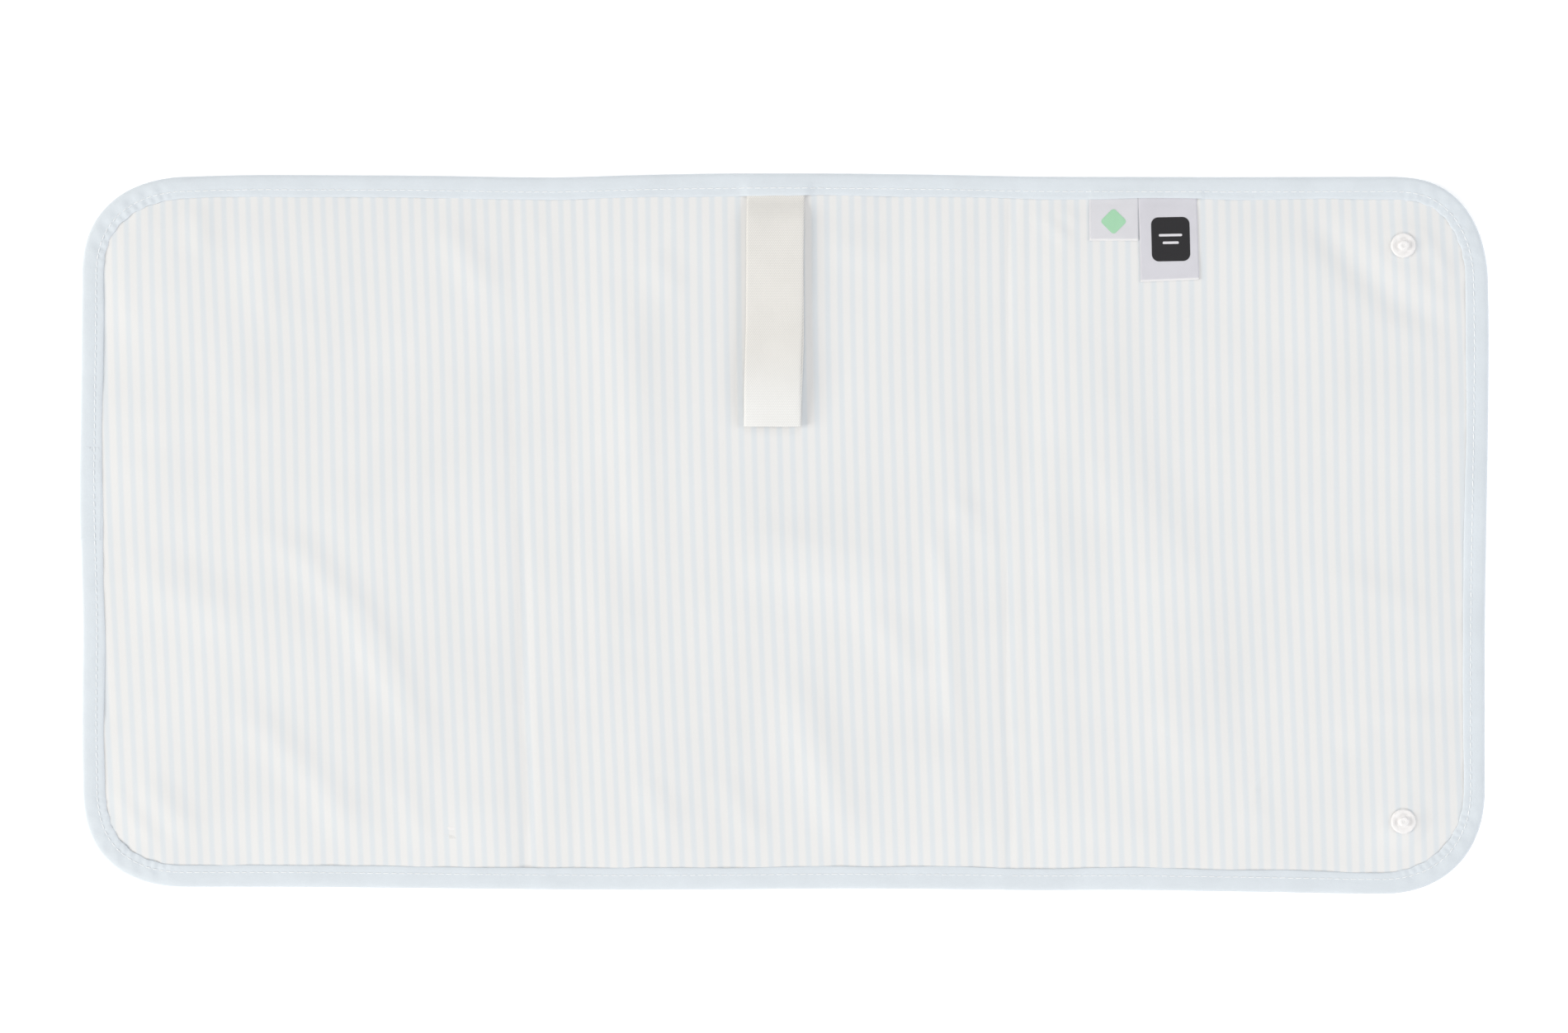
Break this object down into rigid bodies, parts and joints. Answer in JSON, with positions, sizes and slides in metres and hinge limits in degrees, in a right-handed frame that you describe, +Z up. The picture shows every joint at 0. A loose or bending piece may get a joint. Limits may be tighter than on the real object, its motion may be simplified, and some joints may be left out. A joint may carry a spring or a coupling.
{
  "type": "changing pad",
  "caption": "Padded fabric travel changing pad that folds in three and snaps shut, with a bias-bound edge, a webbing hanging loop and sewn-in labels.",
  "frame": {"origin": "centre of the underside of the open pad, midway along its length and its width", "axes": "+X runs along the pad towards the end with the snap studs, +Y across it towards the edge that holds the hanging loop and the labels, +Z up out of the printed face"},
  "size_m": [0.63, 0.322, 0.0086],
  "materials": {
    "face_fabric": "printed laminated cotton, soft satin sheen",
    "backing_fabric": "plain woven, matte",
    "wadding": "polyester wadding, matte",
    "binding_tape": "plain-weave bias tape, matte",
    "sewing_thread": "polyester thread, slight sheen",
    "webbing": "herringbone webbing, matte",
    "label_ribbon": "satin ribbon, soft sheen",
    "snap_plastic": "moulded translucent white plastic"
  },
  "bodies": {
    "mid": {"face_mid": "face_fabric", "backing_mid": "backing_fabric", "binding_mid": "binding_tape", "topstitch_mid": "sewing_thread", "wadding_mid": "wadding"},
    "spine_left": {"face_spine_left": "face_fabric", "backing_spine_left": "backing_fabric", "binding_spine_left": "binding_tape", "topstitch_spine_left": "sewing_thread"},
    "panel_left": {"face_left": "face_fabric", "backing_left": "backing_fabric", "binding_left": "binding_tape", "topstitch_left": "sewing_thread", "wadding_left": "wadding", "socket_upper": "snap_plastic", "socket_lower": "snap_plastic", "socket_cap_upper": "snap_plastic", "socket_cap_lower": "snap_plastic"},
    "spine_right": {"face_spine_right": "face_fabric", "backing_spine_right": "backing_fabric", "binding_spine_right": "binding_tape", "topstitch_spine_right": "sewing_thread"},
    "panel_right": {"face_right": "face_fabric", "backing_right": "backing_fabric", "binding_right": "binding_tape", "topstitch_right": "sewing_thread", "wadding_right": "wadding", "stud_upper": "snap_plastic", "stud_lower": "snap_plastic", "stud_cap_upper": "snap_plastic", "stud_cap_lower": "snap_plastic"},
    "loop": {"hanging_loop": "webbing"},
    "small_label": {"label_small": "label_ribbon"},
    "large_label": {"label_large": "label_ribbon"}
  },
  "joints": [
    {"name": "fold_left_strip", "type": "hinge", "parent": "mid", "child": "spine_left", "pos_m": [-0.0945, 0, 0.0016], "axis": [0, 1, 0], "range_deg": [0, 32.7]},
    {"name": "fold_left", "type": "hinge", "parent": "spine_left", "child": "panel_left", "pos_m": [-0.1145, 0, 0.0016], "axis": [0, 1, 0], "range_deg": [0, 147.3]},
    {"name": "fold_right_strip", "type": "hinge", "parent": "mid", "child": "spine_right", "pos_m": [0.0915, 0, 0.0016], "axis": [0, -1, 0], "range_deg": [0, 90]},
    {"name": "fold_right", "type": "hinge", "parent": "spine_right", "child": "panel_right", "pos_m": [0.1079, 0, 0.0016], "axis": [0, -1, 0], "range_deg": [0, 90]},
    {"name": "loop_flap", "type": "hinge", "parent": "mid", "child": "loop", "pos_m": [-0.0045, 0.15, 0.006], "axis": [-1, 0, 0], "range_deg": [0, 180]},
    {"name": "small_label_flap", "type": "hinge", "parent": "panel_right", "child": "small_label", "pos_m": [0.14725, 0.1503, 0.0043], "axis": [-1, 0, 0], "range_deg": [0, 180]},
    {"name": "large_label_flap", "type": "hinge", "parent": "panel_right", "child": "large_label", "pos_m": [0.17245, 0.1503, 0.0043], "axis": [-1, 0, 0], "range_deg": [0, 180]}
  ],
  "couplings": [
    {"joint": "fold_left_strip", "follows": "fold_left", "ratio": 0.222},
    {"joint": "fold_right_strip", "follows": "fold_right", "ratio": 1}
  ]
}
